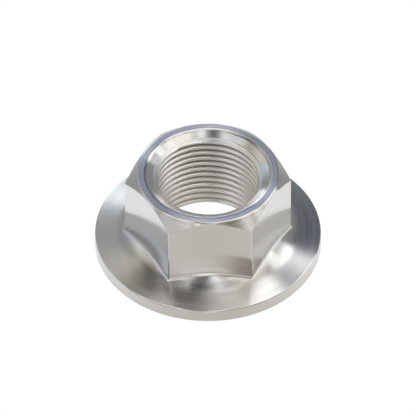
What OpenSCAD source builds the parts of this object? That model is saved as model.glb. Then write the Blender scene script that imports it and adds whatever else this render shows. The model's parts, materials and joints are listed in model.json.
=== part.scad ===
// Hexagon flange nut, M22 x 1.5, 29 mm across flats, with a concave bearing flange
//
// One solid, turned and milled in the head of a single forging:
// a trumpet-shaped flange, a hexagon with a turned crown, and a threaded
// bore with a countersink at each end.
// Origin: centre of the bearing face. +Z runs along the thread axis.

/* [Thread] */
// Nominal (major) thread diameter
thread_d = 22; // [20:0.5:23]
// Thread pitch
thread_pitch = 1.5; // [1:0.25:2]

/* [Hexagon] */
// Width across flats
across_flats = 29; // [28:0.5:32]
// Height over everything, from the bearing face to the top face
nut_h = 19.5; // [16:0.5:26]
// Radius on the six upright edges
edge_r = 0.35; // [0.2:0.05:0.8]
// Radius of the root fillet, where the flats run down into the flange
root_r = 0.8; // [0.4:0.1:1.4]

/* [Crown] */
// Diameter of the flat top face, measured to the sharp corner of the crown
top_face_d = 28.4; // [27.6:0.1:28.8]
// Slope of the crown cone below the horizontal
crown_angle = 45; // [35:1:50]
// Radius between the top face and the crown cone
crown_r = 0.5; // [0.2:0.1:0.8]

/* [Flange] */
// Diameter of the flange
flange_d = 45.5; // [43:0.5:52]
// Height of the rim at its outer edge
rim_h = 2.85; // [2.2:0.05:4]
// Radius on the upper edge of the rim
rim_r = 0.35; // [0.1:0.05:0.8]
// Bevel on the lower edge of the rim
rim_bevel = 0.2; // [0.1:0.05:0.5]
// Fall of the outer part of the flange towards the rim, in degrees
flange_fall = 9; // [6:0.5:12]
// Radius of the concave sweep that carries the flange up into the hexagon
sweep_r = 9; // [8:0.1:11]
// Diameter of the turned neck that the sweep runs into, hidden in the hexagon
neck_d = 22.2; // [21:0.1:24]

/* [Bore ends] */
// Slope of both countersinks below the horizontal, 30 for a 120 degree tool
sink_angle = 30; // [25:1:45]
// Diameter of the upper countersink, measured to its sharp corner
sink_top_d = 25.2; // [24:0.1:25.6]
// Radius between the top face and the upper countersink
sink_top_r = 1.6; // [0.4:0.1:2]
// Diameter of the lower countersink in the bearing face
sink_bottom_d = 23.8; // [23:0.1:26]

/* [Hidden] */
$fn = 144;

// Margin that a cutting shape runs past the surface that it cuts
cut = 1;

// Height that a blending radius stands proud of a face that it runs into: half a
// thousandth of a millimetre, so that the two cross cleanly where they would only touch
hair = 0.0005;

// A tap drill leaves the bore at the minor diameter of a 60 degree metric thread
bore_r = thread_d/2 - thread_pitch*5/8*cos(30);

flat_r = across_flats/2;
corner_r = flat_r/cos(30);
flange_r = flange_d/2;
top_face_r = top_face_d/2;

// Distance from the axis to the centre of the radius on an upright edge,
// and half the angle that this radius fills, seen from the axis
edge_c = (flat_r - edge_r)/cos(30);
edge_half = atan2(edge_r*sin(30), edge_c + edge_r*cos(30));

// The sweep: its centre stands over the ring, and it ends tangent to the ring's slight cone
sweep_x = neck_d/2 + sweep_r;
sweep_z = rim_h + (flange_r - sweep_x)*tan(flange_fall) + (sweep_r - hair)/cos(flange_fall);
sweep_end = [sweep_x, sweep_z] - (sweep_r - hair)*[sin(flange_fall), cos(flange_fall)];

// The rim's upper edge: centre of its radius, and where it leaves the ring's cone
rim_c = [flange_r - rim_r, rim_h + rim_r*tan(flange_fall) - (rim_r - hair)/cos(flange_fall)];
rim_end = rim_c + (rim_r - hair)*[sin(flange_fall), cos(flange_fall)];

// Crown: the radius touches the top face at one end and the cone at the other
crown_t = crown_r*tan(crown_angle/2) - hair/sin(crown_angle);
crown_c = [top_face_r - crown_t, nut_h - crown_r];
crown_end = crown_c + (crown_r - hair)*[sin(crown_angle), cos(crown_angle)];
crown_out = corner_r + cut;

// Upper countersink: the radius touches the cone at one end and the top face at the other
sink_t = sink_top_r*tan(sink_angle/2) - hair/sin(sink_angle);
sink_c = [sink_top_d/2 + sink_t, nut_h - sink_top_r];
sink_end = sink_c + (sink_top_r - hair)*[-sin(sink_angle), cos(sink_angle)];
sink_top_depth = (sink_top_d/2 - bore_r)*tan(sink_angle);
sink_bottom_depth = (sink_bottom_d/2 - bore_r)*tan(sink_angle);

// The hexagon starts inside the flange, below everything that shows
hex_base = rim_h/2;

// Root fillet: steps along each flat and round the arc of its section, the
// depth that its edges sink into flat and flange, and that of its hidden back
root_steps = 12;
root_arc = 4;
root_sink = 0.02;
root_back = 0.6;

// Section of the flange, from the axis to the rim
module flange_section() {
    difference() {
        polygon([
            [0, 0],
            [flange_r - rim_bevel, 0],
            [flange_r, rim_bevel],
            [flange_r, rim_c[1]],
            rim_end,
            sweep_end,
            [sweep_x, sweep_z],
            [0, sweep_z],
        ]);
        translate([sweep_x, sweep_z]) circle(r = sweep_r);
    }
    translate(rim_c) circle(r = rim_r);
}

module flange() {
    rotate_extrude() flange_section();
}

// Regular hexagon with flats facing -Y and +Y and rounded corners
module hexagon() {
    polygon([
        for (k = [0:5], side = [-1, 1])
            let (a = 60*k)
                edge_c*[cos(a), sin(a)] + edge_r*[cos(a + side*30), sin(a + side*30)]
    ]);
    for (k = [0:5])
        rotate(60*k) translate([edge_c, 0]) circle(r = edge_r + hair);
}

// Section that turns the top of the hexagon to its crown
module crown_section() {
    polygon([
        [0, hex_base - cut],
        [crown_out, hex_base - cut],
        [crown_out, nut_h - (crown_out - top_face_r)*tan(crown_angle)],
        crown_end,
        [crown_c[0], nut_h],
        [0, nut_h],
    ]);
    translate(crown_c) circle(r = crown_r);
}

module hub() {
    intersection() {
        translate([0, 0, hex_base]) linear_extrude(nut_h) hexagon();
        rotate_extrude() crown_section();
    }
}

// Distance from the axis to the side of the hexagon, at the angle t from its nearest corner
function hexagon_reach(t) =
    t < edge_half
        ? edge_c*cos(t) + sqrt(edge_r^2 - (edge_c*sin(t))^2)
        : flat_r/cos(30 - t);

// Radial section of the root fillet beside a side that stands at the radius reach:
// an arc that touches the upright side and the sweep, and a hidden back inside the nut
function root_section(reach) =
    let (
        x = reach + root_r,
        drop = sqrt((sweep_r - root_r)^2 - (sweep_x - x)^2),
        // Angle of the arc's lower end, and of the line that halves the arc
        low = atan2(-drop, x - sweep_x) + 360,
        half = (180 + low)/2,
        c = [x, sweep_z - drop] + root_sink*[cos(half), sin(half)],
        back = reach - root_back,
        foot = c[1] + root_r*sin(low) - root_back
    )
    [
        [back, foot],
        [c[0] + root_r*cos(low), foot],
        for (i = [0:root_arc])
            let (a = low + (180 - low)*i/root_arc)
                c + root_r*[cos(a), sin(a)],
        [back, c[1]],
    ];

// The six root fillets as one closed ring, with a section at each of its turns
module root_fillet() {
    // Angles from one corner of the hexagon to the next, and of all turns:
    // from the first corner, and from the nearest one
    steps = [0, edge_half, for (i = [1:root_steps - 1]) 60*i/root_steps, 60 - edge_half];
    turns = [for (k = [0:5], t = steps) [60*k + t, min(t, 60 - t)]];
    sections = [for (turn = turns) root_section(hexagon_reach(turn[1]))];
    rows = len(turns);
    cols = len(sections[0]);
    points = [
        for (i = [0:rows - 1], p = sections[i])
            [p[0]*cos(turns[i][0]), p[0]*sin(turns[i][0]), p[1]]
    ];
    faces = [
        for (i = [0:rows - 1], j = [0:cols - 1])
            let (
                a = i*cols + j,
                b = i*cols + (j + 1)%cols,
                c = (i + 1)%rows*cols + (j + 1)%cols,
                d = (i + 1)%rows*cols + j
            )
            each [[a, b, c], [a, c, d]]
    ];
    polyhedron(points, faces);
}

// Section of everything that the drill and the countersinks take away
module bore_section() {
    difference() {
        polygon([
            [0, -cut],
            [sink_bottom_d/2 + cut/tan(sink_angle), -cut],
            [bore_r, sink_bottom_depth],
            [bore_r, nut_h - sink_top_depth],
            sink_end,
            [sink_c[0], nut_h],
            [sink_c[0], nut_h + cut],
            [0, nut_h + cut],
        ]);
        translate(sink_c) circle(r = sink_top_r);
    }
}

module flange_nut() {
    color("silver")
        difference() {
            union() {
                // Flange and hexagon come together first, so the fillet meets one body
                union() {
                    flange();
                    hub();
                }
                root_fillet();
            }
            rotate_extrude() bore_section();
        }
}

flange_nut();
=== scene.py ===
# %% [markdown]
# # A flange nut in bright steel
#
# The object is a hexagon nut and its washer in one piece: a flat bearing face, a
# flange that sweeps up in a hollow curve, six milled flats with a turned crown,
# and a fine right-hand thread between two countersinks. It is one solid, so the
# scene has one piece. Its whole look comes from clean curved metal that mirrors
# the room, and so most of this lesson is about true surfaces: every radius that
# catches a line of light is in the mesh, and the mesh carries the exact normals of
# the surfaces that it stands for.

# %% Load the frame
import json
import math

import bpy
import numpy as np
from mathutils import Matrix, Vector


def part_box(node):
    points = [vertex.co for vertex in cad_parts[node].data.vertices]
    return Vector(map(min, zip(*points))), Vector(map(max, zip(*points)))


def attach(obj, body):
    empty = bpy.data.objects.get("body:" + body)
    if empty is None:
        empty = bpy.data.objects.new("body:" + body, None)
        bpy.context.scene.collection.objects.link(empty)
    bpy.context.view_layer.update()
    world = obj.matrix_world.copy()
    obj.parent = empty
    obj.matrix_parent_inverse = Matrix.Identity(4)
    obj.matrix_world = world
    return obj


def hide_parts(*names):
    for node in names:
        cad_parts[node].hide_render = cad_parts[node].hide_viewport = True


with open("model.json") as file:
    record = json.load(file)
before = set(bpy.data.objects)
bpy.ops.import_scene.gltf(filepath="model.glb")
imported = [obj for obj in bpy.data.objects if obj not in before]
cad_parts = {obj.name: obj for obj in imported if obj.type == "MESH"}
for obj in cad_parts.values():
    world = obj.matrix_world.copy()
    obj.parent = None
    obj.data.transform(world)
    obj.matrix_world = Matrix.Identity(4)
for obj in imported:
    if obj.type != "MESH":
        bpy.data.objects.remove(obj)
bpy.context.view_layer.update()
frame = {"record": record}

# %% [markdown]
# ## Sizes
#
# The outer sizes and the bore come from the frame, so the piece can't drift from
# the solid that it dresses. The others are the same named sizes that the solid is
# built from. The work is done in millimetres and turned to metres once, at the end.

# %% Sizes of the nut, in millimetres
MM = 0.001
low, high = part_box("flange_nut")
FLANGE_R = (high.x - low.x) / 2 / MM
NUT_H = high.z / MM
mounts = {m["name"]: m for m in frame["record"]["mounts"]}
BORE_R = mounts["thread"]["dims"]["r_mm"]

PITCH = 1.5
# The thread is cut this deep: five eighths of the height of its sharp triangle
THREAD_DEPTH = PITCH * 5 / 8 * math.cos(math.radians(30))
ROOT_R = BORE_R + THREAD_DEPTH

FLAT_R = 29 / 2
EDGE_R = 0.35
ROOT_FILLET_R = 0.8

TOP_FACE_R = 28.4 / 2
CROWN_ANGLE = math.radians(45)
CROWN_R = 0.5

RIM_H = 2.85
RIM_R = 0.35
RIM_BEVEL = 0.2
FLANGE_FALL = math.radians(9)
SWEEP_R = 9
NECK_R = 22.2 / 2

SINK_ANGLE = math.radians(30)
SINK_TOP_R = 25.2 / 2
SINK_LIP_R = 1.6
SINK_BOTTOM_R = 23.8 / 2
# A tumbled nut has no knife edges: this radius breaks the ones that have no other
BREAK_R = 0.1

print(f"flange {2 * FLANGE_R:.2f}, height {NUT_H:.2f}, thread {2 * ROOT_R:.2f} x {PITCH}")

# %% [markdown]
# ## The outline of the hexagon
#
# A nut can be drawn as a turned profile whose only part that isn't round is the
# distance from the axis to its flats. One function gives that distance for every
# direction, with the small radius on the six upright edges. The directions stand
# two degrees apart, and closer round each upright edge, where the surface turns
# through 60 degrees within a third of a millimetre.

# %% Distance from the axis to the hexagon
EDGE_C = (FLAT_R - EDGE_R) / math.cos(math.radians(30))
EDGE_HALF = math.atan2(EDGE_R / 2, EDGE_C + EDGE_R * math.cos(math.radians(30)))


def hexagon_reach(azimuth):
    """Radius of the hexagon's side in each direction; corners lie at multiples of 60 degrees."""
    sector = math.radians(60)
    t = np.abs((azimuth + sector / 2) % sector - sector / 2)
    on_flat = FLAT_R / np.cos(math.radians(30) - t)
    inside = np.clip(EDGE_R**2 - (EDGE_C * np.sin(t)) ** 2, 0, None)
    on_edge = EDGE_C * np.cos(t) + np.sqrt(inside)
    return np.where(t < EDGE_HALF, on_edge, on_flat)


# Directions round an upright edge, as shares of its half angle
EDGE_SHARES = (-2.2, -1.5, -1.0, -0.67, -0.33, 0.0, 0.33, 0.67, 1.0, 1.5, 2.2)
STEP_DEG = 2
azimuths = []
for corner in range(6):
    base = math.radians(60 * corner)
    azimuths += [base + share * EDGE_HALF for share in EDGE_SHARES]
    azimuths += [base + math.radians(d) for d in range(STEP_DEG, 60, STEP_DEG)]
azimuths = np.sort(np.array(azimuths) % (2 * math.pi))
print(len(azimuths), "directions; half angle of an upright edge:", round(math.degrees(EDGE_HALF), 2))

# %% [markdown]
# ## The turned profile
#
# The profile runs from inside the lower countersink, out over the bearing face,
# round the rim, up the flange, over the crown and down into the upper
# countersink. It is a chain of arcs with straight lines between them. Each arc
# gives points and the direction of travel at each point: from these the mesh
# takes its vertices and its normals.

# %% Arcs of the profile
def arc(cx, cz, radius, start, end, steps):
    """Points and travel directions along an arc, one row a point; end below start runs clockwise."""
    share = np.linspace(0, 1, steps + 1)[:, None]
    angle = start + (end - start) * share
    turn = np.sign(np.mean(end - start))
    r, z = cx + radius * np.cos(angle), cz + radius * np.sin(angle)
    return np.stack([r, z, -turn * np.sin(angle), turn * np.cos(angle)])


def line(a, b, steps):
    """The points between a and b, without both ends: those belong to the arcs."""
    share = np.linspace(0, 1, steps + 1)[1:-1, None]
    r, z = a[0] + (b[0] - a[0]) * share, a[1] + (b[1] - a[1]) * share
    length = np.hypot(b[0] - a[0], b[1] - a[1])
    flat = np.zeros_like(r)
    return np.stack([r, z, flat + (b[0] - a[0]) / length, flat + (b[1] - a[1]) / length])


def ends(rows):
    """First and last point of some rows, for the lines that join them."""
    return (rows[0][0], rows[1][0]), (rows[0][-1], rows[1][-1])


QUARTER = math.pi / 2
# The sweep's centre stands over the ring, so that the sweep ends tangent to its slight fall
SWEEP_X = NECK_R + SWEEP_R
SWEEP_Z = RIM_H + (FLANGE_R - SWEEP_X) * math.tan(FLANGE_FALL) + SWEEP_R / math.cos(FLANGE_FALL)
# The thread starts inside these two circles, just wider than its root, and the profile ends on them
JOIN_MARGIN = 0.12
JOIN_R = ROOT_R + JOIN_MARGIN
JOIN_LOW_Z = (SINK_BOTTOM_R - JOIN_R) * math.tan(SINK_ANGLE)
JOIN_HIGH_Z = NUT_H - (SINK_TOP_R - JOIN_R) * math.tan(SINK_ANGLE)


def turned_rows():
    """The arcs that are the same in every direction: foot and rim, then the top and its countersink."""
    t = BREAK_R * math.tan(SINK_ANGLE / 2)
    mouth = arc(SINK_BOTTOM_R + t, BREAK_R, BREAK_R, -QUARTER - SINK_ANGLE, -QUARTER, 3)
    t = BREAK_R * math.tan(math.pi / 8)
    foot = arc(FLANGE_R - RIM_BEVEL - t, BREAK_R, BREAK_R, -QUARTER, -QUARTER / 2, 2)
    side = arc(FLANGE_R - BREAK_R, RIM_BEVEL + t, BREAK_R, -QUARTER / 2, 0, 2)
    rim_z = RIM_H + RIM_R * math.tan(FLANGE_FALL) - RIM_R / math.cos(FLANGE_FALL)
    rim = arc(FLANGE_R - RIM_R, rim_z, RIM_R, 0, QUARTER - FLANGE_FALL, 6)
    t = CROWN_R * math.tan(CROWN_ANGLE / 2)
    crown = arc(TOP_FACE_R - t, NUT_H - CROWN_R, CROWN_R, QUARTER - CROWN_ANGLE, QUARTER, 6)
    t = SINK_LIP_R * math.tan(SINK_ANGLE / 2)
    lip = arc(SINK_TOP_R + t, NUT_H - SINK_LIP_R, SINK_LIP_R, QUARTER, QUARTER + SINK_ANGLE, 10)
    return mouth, foot, side, rim, crown, lip


def hexagon_rows(reach):
    """The arcs that follow the hexagon: sweep and root fillet below it, the crown's edge above it."""
    x = reach + ROOT_FILLET_R
    drop = np.sqrt((SWEEP_R - ROOT_FILLET_R) ** 2 - (SWEEP_X - x) ** 2)
    low = np.arctan2(-drop, x - SWEEP_X)
    sweep = arc(SWEEP_X, SWEEP_Z, SWEEP_R, -QUARTER - FLANGE_FALL + 0 * low, low, 14)
    root = arc(x, SWEEP_Z - drop, ROOT_FILLET_R, low, -math.pi + 0 * low, 8)
    across = (TOP_FACE_R - reach + BREAK_R) * math.sin(CROWN_ANGLE) - BREAK_R
    z = NUT_H + across / math.cos(CROWN_ANGLE)
    edge = arc(reach - BREAK_R, z, BREAK_R, 0 * low, QUARTER - CROWN_ANGLE + 0 * low, 3)
    return sweep, root, edge


def profile(azimuth):
    """Rows of the whole profile, [r, z, travel r, travel z] by row and direction."""
    wide = np.zeros_like(azimuth)
    mouth, foot, side, rim, crown, lip = [a + wide for a in turned_rows()]
    sweep, root, edge = hexagon_rows(hexagon_reach(azimuth))
    start = line((JOIN_R + wide, JOIN_LOW_Z + wide), ends(mouth)[0], 2)
    first = np.stack([wide + JOIN_R, wide + JOIN_LOW_Z, start[2][0], start[3][0]])[:, None]
    stop = line(ends(lip)[1], (JOIN_R + wide, JOIN_HIGH_Z + wide), 3)
    last = np.stack([wide + JOIN_R, wide + JOIN_HIGH_Z, stop[2][0], stop[3][0]])[:, None]
    parts = [first, start, mouth, line(ends(mouth)[1], ends(foot)[0], 6), foot, side]
    parts += [line(ends(side)[1], ends(rim)[0], 3), rim, line(ends(rim)[1], ends(sweep)[0], 3), sweep]
    parts += [root[:, 1:], line(ends(root)[1], ends(edge)[0], 5), edge]
    parts += [line(ends(edge)[1], ends(crown)[0], 3), crown, line(ends(crown)[1], ends(lip)[0], 3)]
    parts += [lip, stop, last]
    return np.concatenate(parts, axis=1)


print("rows in the profile:", profile(azimuths).shape[1])

# %% [markdown]
# ## Points and normals of the outside
#
# Turning the profile gives the points. A normal is the cross product of two
# directions in the surface: the way the profile travels, and the way a point
# moves when the direction from the axis turns a little. Blender would otherwise
# average the normals of the faces round a vertex, and polished metal shows
# each such average as a bend in its reflections.

# %% Turn the profile
def turned(azimuth):
    """Points of the turned profile in each direction, and the way the profile travels through them."""
    r, z, travel_r, travel_z = profile(azimuth)
    points = np.stack([r * np.cos(azimuth), r * np.sin(azimuth), z], axis=-1)
    travel = np.stack([travel_r * np.cos(azimuth), travel_r * np.sin(azimuth), travel_z], axis=-1)
    return points, travel


# In radians, a step small enough to stand for a slope
SMALL_TURN = 1e-5
outer, travel = turned(azimuths)
around = turned(azimuths + SMALL_TURN)[0] - turned(azimuths - SMALL_TURN)[0]
outer_normals = np.cross(around, travel)
outer_normals /= np.linalg.norm(outer_normals, axis=-1, keepdims=True)
print("outside grid:", outer.shape[:2])

# %% [markdown]
# ## The thread
#
# A real thread is a helix, so the rows of its grid climb with it: each row rises
# one pitch in a turn, and the crests and flanks run along rows without a jag. A
# tap leaves a 60 degree groove with a rounded root, and a crest that is the flat
# of the drilled hole with its two edges a little rolled over. Where a row climbs
# out of the thread into a countersink it is held at the join circle, and what
# collapses there is dropped when the mesh is made.

# %% Shape of one thread
# Half widths of crest and root as shares of the pitch, and how far their edges are rounded
CREST_HALF = 1 / 8
ROOT_HALF = 1 / 16
ROUNDING = 0.035
# Rows of the grid across one pitch, closer together where the groove bends
PHASES = (-0.125, -0.085, 0.0, 0.085, 0.125, 0.165, 0.23, 0.3, 0.37, 0.42, 0.46, 0.5)
PHASES += (0.54, 0.58, 0.63, 0.7, 0.77, 0.835)


def thread_depth(phase):
    """Depth of the groove, 0 at the crest and 1 at the root, for a phase counted from mid-crest."""
    t = np.abs((phase + 0.5) % 1 - 0.5)
    rise = (t - CREST_HALF) / (0.5 - ROOT_HALF - CREST_HALF)
    soft = ROUNDING / (0.5 - ROOT_HALF - CREST_HALF)
    # Two soft bends: the straight flank is cut off smoothly at 0 and at 1
    lower = np.where(rise > soft, rise, np.where(rise < -soft, 0, (rise + soft) ** 2 / (4 * soft)))
    over = 1 - lower
    return 1 - np.where(over > soft, over, np.where(over < -soft, 0, (over + soft) ** 2 / (4 * soft)))


def bore_reach(azimuth, z):
    """Radius of the bore's surface: the thread, or a countersink where that is wider."""
    phase = (z - CREST_Z) / PITCH - azimuth / (2 * math.pi)
    thread = BORE_R + THREAD_DEPTH * thread_depth(phase)
    sink_low = SINK_BOTTOM_R - z / math.tan(SINK_ANGLE)
    sink_high = SINK_TOP_R - (NUT_H - z) / math.tan(SINK_ANGLE)
    return np.maximum(thread, np.maximum(sink_low, sink_high))


# The photo shows a crest at this height on the back wall; in the direction +X, a quarter
# turn before it, the same crest stands a quarter of a pitch lower
BACK_CREST_Z = 16.46
CREST_Z = BACK_CREST_Z - PITCH / 4
print("depth of the thread:", round(THREAD_DEPTH, 3))

# %% [markdown]
# ## The grid of the thread
#
# Each row of the grid keeps its place on the thread, such as mid-crest or root, and
# climbs one pitch on its way round. There are a few turns more than the bore needs,
# and the two join circles cut them off. The normals come from two slopes, each
# measured by a small step either way: how the wall steps back as one goes up, and as
# one goes round.

# %% Grid of the thread
turns_low = math.floor((JOIN_LOW_Z - CREST_Z) / PITCH) - 2
turns_high = math.ceil((JOIN_HIGH_Z - CREST_Z) / PITCH) + 1
row_phase = np.array([k + p for k in range(turns_low, turns_high) for p in sorted(PHASES)])
climb = azimuths / (2 * math.pi)
bore_z = CREST_Z + PITCH * (row_phase[:, None] + climb[None, :])
bore_z = np.clip(bore_z, JOIN_LOW_Z, JOIN_HIGH_Z)
bore_r = bore_reach(azimuths, bore_z)
bore_r = np.where((bore_z <= JOIN_LOW_Z) | (bore_z >= JOIN_HIGH_Z), JOIN_R, bore_r)

# In millimetres, the same for a rise
SMALL_RISE = 1e-4
slope = bore_reach(azimuths, bore_z + SMALL_RISE) - bore_reach(azimuths, bore_z - SMALL_RISE)
slope /= 2 * SMALL_RISE
twist = bore_reach(azimuths + SMALL_TURN, bore_z) - bore_reach(azimuths - SMALL_TURN, bore_z)
twist /= 2 * SMALL_TURN
radial = np.stack([np.cos(azimuths), np.sin(azimuths), 0 * azimuths], axis=-1)
sideways = np.stack([-np.sin(azimuths), np.cos(azimuths), 0 * azimuths], axis=-1)
bore = bore_r[..., None] * radial
bore[..., 2] = bore_z
bore_normals = -radial + (twist / bore_r)[..., None] * sideways
bore_normals[..., 2] = slope
bore_normals /= np.linalg.norm(bore_normals, axis=-1, keepdims=True)
print("thread grid:", bore.shape[:2])

# %% [markdown]
# ## One closed mesh
#
# Both grids become quads. Round the outside the last column meets the first. In
# the bore it meets the first column one pitch higher, which is what makes the
# rows one helix. Vertices that fell together at the join circles are welded, and
# quads that lost their area there are left out, so the skin is closed.

# %% Faces
def ring_faces(rows, columns, offset, shift):
    """Quads of a grid whose last column meets the first, shift rows further on."""
    faces = []
    for i in range(rows - 1):
        for j in range(columns):
            seam = j == columns - 1
            up = i + shift if seam else i
            if up + 1 >= rows:
                continue
            k = 0 if seam else j + 1
            near, far = i * columns + j, up * columns + k
            faces.append((near, far, far + columns, near + columns))
    return [tuple(v + offset for v in f) for f in faces]


def weld(points, faces, grain):
    """One index for all points that agree to a grain, and the faces that keep three corners."""
    keys = np.round(points / grain).astype(np.int64)
    unique, first, index = np.unique(keys, axis=0, return_index=True, return_inverse=True)
    index = index.reshape(-1)
    kept = []
    for face in faces:
        corners = []
        for v in index[list(face)]:
            if v not in corners:
                corners.append(int(v))
        if len(corners) > 2:
            kept.append(tuple(corners))
    return first, kept


columns = len(azimuths)
outer_faces = ring_faces(outer.shape[0], columns, 0, 0)
bore_faces = ring_faces(bore.shape[0], columns, outer.shape[0] * columns, len(PHASES))
# The bore is seen from the axis, so its faces turn the other way
bore_faces = [f[::-1] for f in bore_faces]
all_points = np.concatenate([outer.reshape(-1, 3), bore.reshape(-1, 3)])
all_normals = np.concatenate([outer_normals.reshape(-1, 3), bore_normals.reshape(-1, 3)])
# In millimetres: points that agree this closely become one
GRAIN = 1e-4
chosen, faces = weld(all_points, outer_faces + bore_faces, GRAIN)
points, normals = all_points[chosen], all_normals[chosen]
print(len(points), "vertices,", len(faces), "faces,", sum(len(f) - 2 for f in faces), "triangles")

# %% [markdown]
# ## The nut as an object
#
# Blender takes the points and the faces, and then one normal for each corner of each
# face. Where the thread runs out into a countersink, two surfaces meet in an edge and
# share vertices, so a few exact normals belong to the other side of the edge. A
# normal that leans too far from its face is replaced there by the face's own, which
# leaves the edge crisp and no dark specks.

# %% Make the piece
# Cosine of the widest lean, 60 degrees, between a corner's normal and its face
WIDEST_LEAN = 0.5
mesh = bpy.data.meshes.new("nut")
mesh.from_pydata((points * MM).tolist(), [], faces)
mesh.validate()
mesh.shade_smooth()

vertex_of = np.empty(len(mesh.loops), dtype=np.int32)
mesh.loops.foreach_get("vertex_index", vertex_of)
sizes = np.empty(len(mesh.polygons), dtype=np.int32)
mesh.polygons.foreach_get("loop_total", sizes)
facing = np.empty(3 * len(mesh.polygons), dtype=np.float32)
mesh.polygons.foreach_get("normal", facing)
facing = np.repeat(facing.reshape(-1, 3), sizes, axis=0)
corner_normals = normals[vertex_of]
astray = (corner_normals * facing).sum(axis=1) < WIDEST_LEAN
corner_normals[astray] = facing[astray]
mesh.normals_split_custom_set(corner_normals.tolist())
print("corners:", len(corner_normals), "of which take their face's own normal:", int(astray.sum()))

nut = bpy.data.objects.new("nut", mesh)
bpy.context.scene.collection.objects.link(nut)
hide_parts("flange_nut")
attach(nut, "root")

# %% [markdown]
# ## A helper for shader nodes
#
# A shader is a small network of nodes. One function adds a node, sets its
# properties and fills its inputs, each with a plain value or with the output of
# another node. Colours are written as the sRGB hex values that a paint program
# shows, and the renderer wants them linear, so a second function turns them.

# %% Nodes and colours
def add(tree, kind, inputs, **settings):
    """Add a node; inputs maps a socket's name or number to a value or to the output that feeds it."""
    node = tree.nodes.new(kind)
    for name, value in settings.items():
        setattr(node, name, value)
    for key, value in inputs.items():
        if isinstance(value, bpy.types.NodeSocket):
            tree.links.new(value, node.inputs[key])
        else:
            node.inputs[key].default_value = value
    return node.outputs


def linear(hex_code):
    """Turn an sRGB hex colour to the linear values that the renderer works in, with full alpha."""
    values = [int(hex_code[i:i + 2], 16) / 255 for i in (0, 2, 4)]
    values = [v / 12.92 if v <= 0.04045 else ((v + 0.055) / 1.055) ** 2.4 for v in values]
    return (*values, 1)


def new_material(name):
    """An empty material and its network of nodes."""
    material = bpy.data.materials.new(name)
    material.use_nodes = True
    material.node_tree.nodes.clear()
    return material, material.node_tree


print("mid grey in linear light:", round(linear("808080")[0], 3))

# %% [markdown]
# ## Steel under three tools
#
# The nut is bare bright steel all over, and what differs is the tool that cut it.
# Tool marks matter in two ways. They are finer than a pixel, so the eye doesn't see
# them one by one: it sees that they spread a reflection across the grooves and keep
# it sharp along them, which in the shader is roughness with anisotropy. Where they
# are uneven they also show as faint lines, which is a small bump that follows the
# tool's path, with a little more roughness in its valleys.

# %% A shader for cut steel
# Bright steel is grey with a trace of yellow
STEEL = "CDC8C3"


def tool_marks(tree, spacing_mm, stretch):
    """Uneven tool marks, from 0 to 1; without stretch they are closed rings, and it breaks them up."""
    place = add(tree, "ShaderNodeTexCoord", {})["Object"]
    flat = add(tree, "ShaderNodeVectorMath", {0: place, 1: (1, 1, 0)}, operation="MULTIPLY")[0]
    reach = add(tree, "ShaderNodeVectorMath", {0: flat}, operation="LENGTH")["Value"]
    height = add(tree, "ShaderNodeSeparateXYZ", {0: place})["Z"]
    across = add(tree, "ShaderNodeCombineXYZ", {"X": reach, "Y": height})[0]
    along = add(tree, "ShaderNodeVectorMath", {0: flat, "Scale": stretch}, operation="SCALE")[0]
    path = add(tree, "ShaderNodeVectorMath", {0: across, 1: along})[0]
    scale = 1 / (spacing_mm * MM)
    return add(tree, "ShaderNodeTexNoise", {"Vector": path, "Scale": scale, "Detail": 3.0})[0]


def steel_shader(name, roughness, anisotropic, spacing_mm, stretch, depth_um):
    """Bright steel with tool marks of a spacing in millimetres and a depth in micrometres."""
    material, tree = new_material(name)
    marks = tool_marks(tree, spacing_mm, stretch)
    # The noise stays mostly between 0.3 and 0.7; its valleys are rougher than its ridges
    limits = {0: marks, 1: 0.3, 2: 0.7, 3: roughness * 1.2, 4: roughness * 0.85}
    rough = add(tree, "ShaderNodeMapRange", limits)[0]
    bump = {"Strength": 1.0, "Distance": depth_um * MM / 1000, "Height": marks}
    # A quarter turn lays the grooves round the axis, so that reflections spread along the radius
    shader = add(tree, "ShaderNodeBsdfPrincipled", {
        "Base Color": linear(STEEL),
        "Metallic": 1.0,
        "Roughness": rough,
        "Anisotropic": anisotropic,
        "Anisotropic Rotation": 0.25,
        "Tangent": add(tree, "ShaderNodeTangent", {}, direction_type="RADIAL", axis="Z")[0],
        "Normal": add(tree, "ShaderNodeBump", bump)[0],
    })["BSDF"]
    add(tree, "ShaderNodeOutputMaterial", {"Surface": shader})
    mesh.materials.append(material)
    print(name, "with marks", spacing_mm, "mm apart")


# %% [markdown]
# ## Turned, milled and tapped
#
# Flange, rim, crown, top face and countersinks were cut on a lathe. The tool leaves
# a spiral of grooves round the axis, a tenth of a millimetre apart, and they draw
# each light into a streak that points at the axis. The flats were milled by a face
# cutter, which leaves no direction to speak of and a finer surface. The thread was
# tapped, and a tap drags and smears a little, so it is the roughest. The marks are
# drawn wider than they are, because a tenth of a millimetre is half a pixel here.

# %% The three finishes
# Turned: fine rings, which draw the streaks on the flange
turned_cut = {"roughness": 0.2, "anisotropic": 0.95, "spacing_mm": 0.35, "stretch": 0.0, "depth_um": 0.6}
steel_shader("turned_steel", **turned_cut)
# Milled: flats so smooth that they are nearly mirrors
milled_cut = {"roughness": 0.12, "anisotropic": 0.0, "spacing_mm": 0.6, "stretch": 0.02, "depth_um": 0.6}
steel_shader("milled_steel", **milled_cut)
# Tapped: a satin surface, which gives the thread its soft stripes
tapped_cut = {"roughness": 0.3, "anisotropic": 0.0, "spacing_mm": 0.5, "stretch": 0.1, "depth_um": 1.0}
steel_shader("tapped_steel", **tapped_cut)
# Their places in the mesh's list of materials
TURNED, MILLED, TAPPED = range(3)

# %% [markdown]
# ## Which tool cut which face
#
# The place of a face tells it: the thread lies inside the join circle, and a flat is
# upright and stands between the flats' own distance and the flange's rim. All the
# rest was turned.

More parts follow.
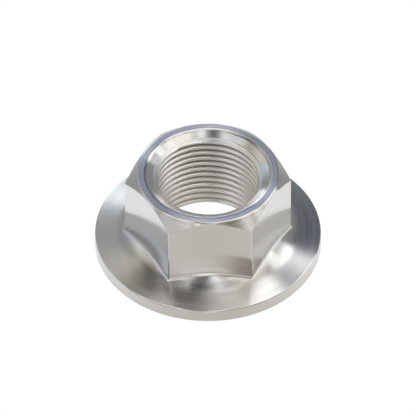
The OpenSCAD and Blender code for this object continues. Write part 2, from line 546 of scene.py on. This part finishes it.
# %% Give each face its finish
# How far a face's middle may miss the flats, and how far inside the rim it stays
FLAT_SLACK = 0.1
RIM_CLEAR = 3
counts = [0, 0, 0]
for polygon in mesh.polygons:
    centre = polygon.center / MM
    reach = math.hypot(centre.x, centre.y)
    if reach < JOIN_R:
        polygon.material_index = TAPPED
    elif abs(polygon.normal.z) < 0.1 and FLAT_R - FLAT_SLACK < reach < FLANGE_R - RIM_CLEAR:
        polygon.material_index = MILLED
    counts[polygon.material_index] += 1
print("turned, milled and tapped faces:", counts)

# %% [markdown]
# ## The light table
#
# The photo has no shadow and a pure white ground, which is how small parts are shot
# on a sheet of opal glass that is lit from below. The glass itself is plain, one
# square. From below it can't be seen, so that the bearing face can.

# %% The sheet of glass
# Half its width in metres, and how far it lies below the bearing face, as two faces in
# one plane would fight
FLOOR_HALF = 1.0
FLOOR_DROP = 0.05 * MM
corners = [(-1, -1), (1, -1), (1, 1), (-1, 1)]
sheet = bpy.data.meshes.new("light_table")
sheet.from_pydata([(FLOOR_HALF * x, FLOOR_HALF * y, -FLOOR_DROP) for x, y in corners], [], [(0, 1, 2, 3)])
table = bpy.data.objects.new("light_table", sheet)
bpy.context.scene.collection.objects.link(table)

# %% [markdown]
# ## The light in the glass
#
# To the camera the glass is white. In the metal it shows that its lamps aren't even:
# under the nut and behind it the glass is duller than white, close by on the left and
# right it is brighter, which the side flats and the rim show, and so it is far in
# front. The glass is an emitter whose colour is mixed from four directions, once for
# the ground close by and once for the ground far off. Its tones and the tent's come
# from a fit of rendered tones to the photo's, rounded.

# %% Its light
# Linear colours, as some are brighter than white, which no hex value can say. Below the nut,
# then behind, right, in front and left of it, close by and far off
BELOW = (0.82, 0.80, 0.78)
CLOSE = [(0.60, 0.60, 0.60), (1.13, 1.17, 1.20), (0.80, 0.79, 0.77), (1.14, 1.20, 1.29)]
FAR = [(0.60, 0.60, 0.60), (0.60, 0.60, 0.60), (1.26, 1.26, 1.24), (0.68, 0.73, 0.83)]
WAYS = [(0, 1, 0), (1, 0, 0), (0, -1, 0), (-1, 0, 0)]
# From the nut's axis, in millimetres: where the ground close by begins and where it ends
CLOSE_FROM = (18, 26)
FAR_FROM = (40, 90)
material, tree = new_material("opal_glass")
place = add(tree, "ShaderNodeTexCoord", {})["Object"]
way = add(tree, "ShaderNodeVectorMath", {0: place}, operation="NORMALIZE")[0]
reach = add(tree, "ShaderNodeVectorMath", {0: place}, operation="LENGTH")["Value"]
limits = {0: reach, 1: CLOSE_FROM[0] * MM, 2: CLOSE_FROM[1] * MM}
beside = add(tree, "ShaderNodeMapRange", limits, interpolation_type="SMOOTHSTEP")[0]
limits = {0: reach, 1: FAR_FROM[0] * MM, 2: FAR_FROM[1] * MM}
away = add(tree, "ShaderNodeMapRange", limits, interpolation_type="SMOOTHSTEP")[0]
colour = (0, 0, 0)
for axis, close, far in zip(WAYS, CLOSE, FAR):
    share = add(tree, "ShaderNodeVectorMath", {0: way, 1: axis}, operation="DOT_PRODUCT")["Value"]
    share = add(tree, "ShaderNodeMath", {0: share, 1: 0.0}, operation="MAXIMUM")[0]
    # Squared, the four shares add up to one in every direction
    share = add(tree, "ShaderNodeMath", {0: share, 1: 2.0}, operation="POWER")[0]
    tone = add(tree, "ShaderNodeMix", {0: away, 6: (*close, 1), 7: (*far, 1)}, data_type="RGBA")[2]
    tone = add(tree, "ShaderNodeVectorMath", {0: tone, "Scale": share}, operation="SCALE")[0]
    colour = add(tree, "ShaderNodeVectorMath", {0: colour, 1: tone})[0]
colour = add(tree, "ShaderNodeMix", {0: beside, 6: (*BELOW, 1), 7: colour}, data_type="RGBA")[2]
seen = add(tree, "ShaderNodeLightPath", {})["Is Camera Ray"]
colour = add(tree, "ShaderNodeMix", {0: seen, 6: colour, 7: (1, 1, 1, 1)}, data_type="RGBA")[2]
glow = add(tree, "ShaderNodeEmission", {"Color": colour, "Strength": 1.0})[0]
clear = add(tree, "ShaderNodeBsdfTransparent", {})[0]
from_below = add(tree, "ShaderNodeNewGeometry", {})["Backfacing"]
both = add(tree, "ShaderNodeMixShader", {0: from_below, 1: glow, 2: clear})[0]
add(tree, "ShaderNodeOutputMaterial", {"Surface": both})
sheet.materials.append(material)
print("light table:", 2 * FLOOR_HALF, "m wide")

# %% [markdown]
# ## A card of light
#
# Bright metal has no look of its own: what it shows is the room. So the studio is
# built as the room that the nut mirrors, a soft grey tent with cards laid into it:
# bright ones, and dark ones that photographers call flags. A card is a rectangle with
# soft edges, seen from the nut. Each direction is measured along the card's two
# sides, divided by how far it points at the card, and the shares that this leaves
# are mixed over the light so far.

# %% Lay one card
world = bpy.data.worlds.new("studio")
bpy.context.scene.world = world
world.use_nodes = True
sky = world.node_tree
sky.nodes.clear()
direction = add(sky, "ShaderNodeTexCoord", {})["Generated"]


def card(light, azimuth, elevation, width, height, roll, soft, colour):
    """Lay a soft-edged card over the light so far; angles in degrees, azimuth 0 behind the nut."""
    a, e, t = math.radians(azimuth), math.radians(elevation), math.radians(roll)
    centre = np.array([math.sin(a) * math.cos(e), math.cos(a) * math.cos(e), math.sin(e)])
    side = np.array([math.cos(a), -math.sin(a), 0])
    rise = np.cross(side, centre)
    across = [math.cos(t) * side + math.sin(t) * rise, math.cos(t) * rise - math.sin(t) * side]
    ahead = add(sky, "ShaderNodeVectorMath", {0: direction, 1: centre}, operation="DOT_PRODUCT")["Value"]
    # What points away from the card is put far beyond its edge
    ahead = add(sky, "ShaderNodeMath", {0: ahead, 1: 0.0001}, operation="MAXIMUM")[0]
    shares = []
    for axis, size in zip(across, (width, height)):
        off = add(sky, "ShaderNodeVectorMath", {0: direction, 1: axis}, operation="DOT_PRODUCT")["Value"]
        off = add(sky, "ShaderNodeMath", {0: off}, operation="ABSOLUTE")[0]
        off = add(sky, "ShaderNodeMath", {0: off, 1: ahead}, operation="DIVIDE")[0]
        edge = math.tan(math.radians(size / 2))
        limits = {0: off, 1: edge * (1 - soft), 2: edge * (1 + soft), 3: 1.0, 4: 0.0}
        shares.append(add(sky, "ShaderNodeMapRange", limits, interpolation_type="SMOOTHSTEP")[0])
    share = add(sky, "ShaderNodeMath", {0: shares[0], 1: shares[1]}, operation="MULTIPLY")[0]
    return add(sky, "ShaderNodeMix", {0: share, 6: light, 7: (*colour, 1)}, data_type="RGBA")[2]


# %% [markdown]
# ## The studio
#
# The camera looks down at 44.7 degrees, so the flat top face mirrors the one spot
# behind the nut at that height. A face that leans by some angle mirrors a spot twice
# that angle away from it, on the side that it leans to. So each tone in the photo
# belongs to a place in the tent. The same fit showed where light and dark are
# needed, and the cards were then set, mostly in steps of five degrees. The
# deep blue card reaches the spot that the top face mirrors and
# gives it its cool grey. Lights overhead, that stand behind the camera, come back
# from the front of the flange by way of the front flat, and flags between them draw
# its dark streaks. The rows are laid one over another in this order.

# %% Place the cards
# Linear colours: a flag is nearly black, and a lamp is three times as bright as white paper
BLACK = (0.05, 0.05, 0.05)
BRIGHT = (2.8, 2.9, 3.0)
# Name, azimuth (0 behind, 90 right), elevation, width, height, roll, share of soft edge, colour
CARDS = [
    ("long low card, left", -80, 25, 80, 10, 10, 0.7, (1.3, 1.6, 2.0)),
    ("bank overhead, left", -75, 70, 75, 35, 20, 0.4, (2.3, 2.3, 2.1)),
    ("flag overhead, back left", -25, 65, 45, 25, -20, 0.7, BLACK),
    ("flag overhead, left", -85, 65, 40, 20, -35, 0.2, BLACK),
    ("strip on the horizon, back", 0, 5, 45, 10, -5, 0.2, BRIGHT),
    ("tall card, right", 75, 15, 20, 40, 20, 0.2, (1.3, 1.4, 1.5)),
    ("slanting flag, back", 10, 35, 10, 60, -55, 0.3, BLACK),
    ("slanting light, right", 95, 45, 20, 35, -55, 0.2, BRIGHT),
    ("high light, back right", 30, 55, 40, 15, -25, 0.2, BRIGHT),
    ("light overhead, back", 10, 75, 30, 10, 50, 0.2, BRIGHT),
    ("amber flag, back", 25, 55, 20, 5, 35, 0.2, (0.3, 0.25, 0.2)),
    ("tall strip, back left", -15, 20, 10, 80, -25, 0.3, (1.7, 1.9, 2.0)),
    ("tall strip, front", 180, 10, 10, 55, -5, 0.2, (1.7, 1.8, 1.9)),
    ("bank overhead, front", -165, 68, 65, 15, -10, 0.3, (2.3, 2.6, 3.0)),
    ("slim flag, front", 165, 60, 10, 20, 10, 0.2, (0.15, 0.1, 0.05)),
    ("broad flag, front left", -135, 50, 60, 25, -50, 0.2, BLACK),
    ("tall grey flag, front right", 110, 50, 10, 80, 15, 0.2, (0.4, 0.4, 0.3)),
    ("light in the broad flag", -125, 55, 35, 20, -20, 0.2, BRIGHT),
    ("slanting light, front right", 125, 60, 40, 15, 50, 0.2, BRIGHT),
    ("cream card, back left", -65, 40, 30, 10, -45, 0.2, (1.1, 1.1, 0.9)),
    ("tall flag, front right", 140, 35, 15, 70, -10, 0.2, (0.15, 0.15, 0.05)),
    ("slim light, front left", -160, 35, 50, 5, -80, 0.2, (1.9, 1.9, 1.9)),
    ("flag on the horizon, front left", -125, 10, 50, 25, -5, 0.2, BLACK),
    ("card overhead, right", 90, 65, 25, 15, -20, 0.2, (1.2, 1.2, 1.1)),
    ("flag at the top of the tent", -105, 85, 25, 10, 35, 0.2, BLACK),
    ("grey flag overhead, back", -15, 70, 25, 10, -5, 0.2, (0.5, 0.5, 0.5)),
    ("deep blue card, back", 0, 35, 10, 40, -20, 0.2, (0.1, 0.15, 0.4)),
    ("slim flag, front left", -160, 62, 10, 20, 50, 0.2, BLACK),
    ("small light, front", 170, 58, 6, 8, 0, 0.2, (2.1, 2.3, 2.3)),
    ("long card, right", 75, 45, 50, 10, -30, 0.2, (1.5, 1.6, 1.6)),
]
# The tent itself: its wall behind the camera, and the one behind the nut
TENT_FRONT = (0.55, 0.53, 0.53, 1)
TENT_BACK = (0.35, 0.37, 0.38, 1)
y = add(sky, "ShaderNodeSeparateXYZ", {0: direction})["Y"]
share = add(sky, "ShaderNodeMapRange", {0: y, 1: -0.5, 2: 0.5}, interpolation_type="SMOOTHSTEP")[0]
light = add(sky, "ShaderNodeMix", {0: share, 6: TENT_FRONT, 7: TENT_BACK}, data_type="RGBA")[2]
for row in CARDS:
    light = card(light, *row[1:])
# The camera sees a white room, as it sees a white table
seen = add(sky, "ShaderNodeLightPath", {})["Is Camera Ray"]
light = add(sky, "ShaderNodeMix", {0: seen, 6: light, 7: (1, 1, 1, 1)}, data_type="RGBA")[2]
shader = add(sky, "ShaderNodeBackground", {"Color": light, "Strength": 1.0})[0]
add(sky, "ShaderNodeOutputWorld", {"Surface": shader})
# White stays white: the photo's tones are those of a screen
bpy.context.scene.view_settings.view_transform = "Standard"
print(len(CARDS), "cards in the studio")

# %% [markdown]
# ## Camera
#
# The photo is a parallel view: its circles are ellipses of one and the same
# flattening. So the camera is orthographic, 44.7 degrees above the floor, and
# stands 1.7 degrees to the left of the nut's front flat.

# %% Place the camera
ELEVATION = math.radians(44.7)
TURN = math.radians(-1.7)
MM_PER_PIXEL = 0.2011
FRAME_PIXELS = 416
# The centre of the bearing face lies this far below the middle of the picture
DROP_PIXELS = 34.21
# A parallel view is the same from any distance; this one clears the nut
CAMERA_MM = 300


def heading(elevation):
    """Direction from the nut at the camera's turn and some elevation."""
    level = math.cos(elevation)
    return np.array([math.sin(TURN) * level, -math.cos(TURN) * level, math.sin(elevation)])


back = heading(ELEVATION)
up = heading(ELEVATION + QUARTER)
lens = bpy.data.cameras.new("camera")
lens.type = "ORTHO"
lens.ortho_scale = FRAME_PIXELS * MM_PER_PIXEL * MM
lens.clip_start, lens.clip_end = 0.01, 10
camera = bpy.data.objects.new("camera", lens)
camera.location = (up * DROP_PIXELS * MM_PER_PIXEL + back * CAMERA_MM) * MM
camera.rotation_euler = (QUARTER - ELEVATION, 0, TURN)
bpy.context.scene.collection.objects.link(camera)
bpy.context.scene.camera = camera
print("picture:", round(FRAME_PIXELS * MM_PER_PIXEL, 1), "mm wide")
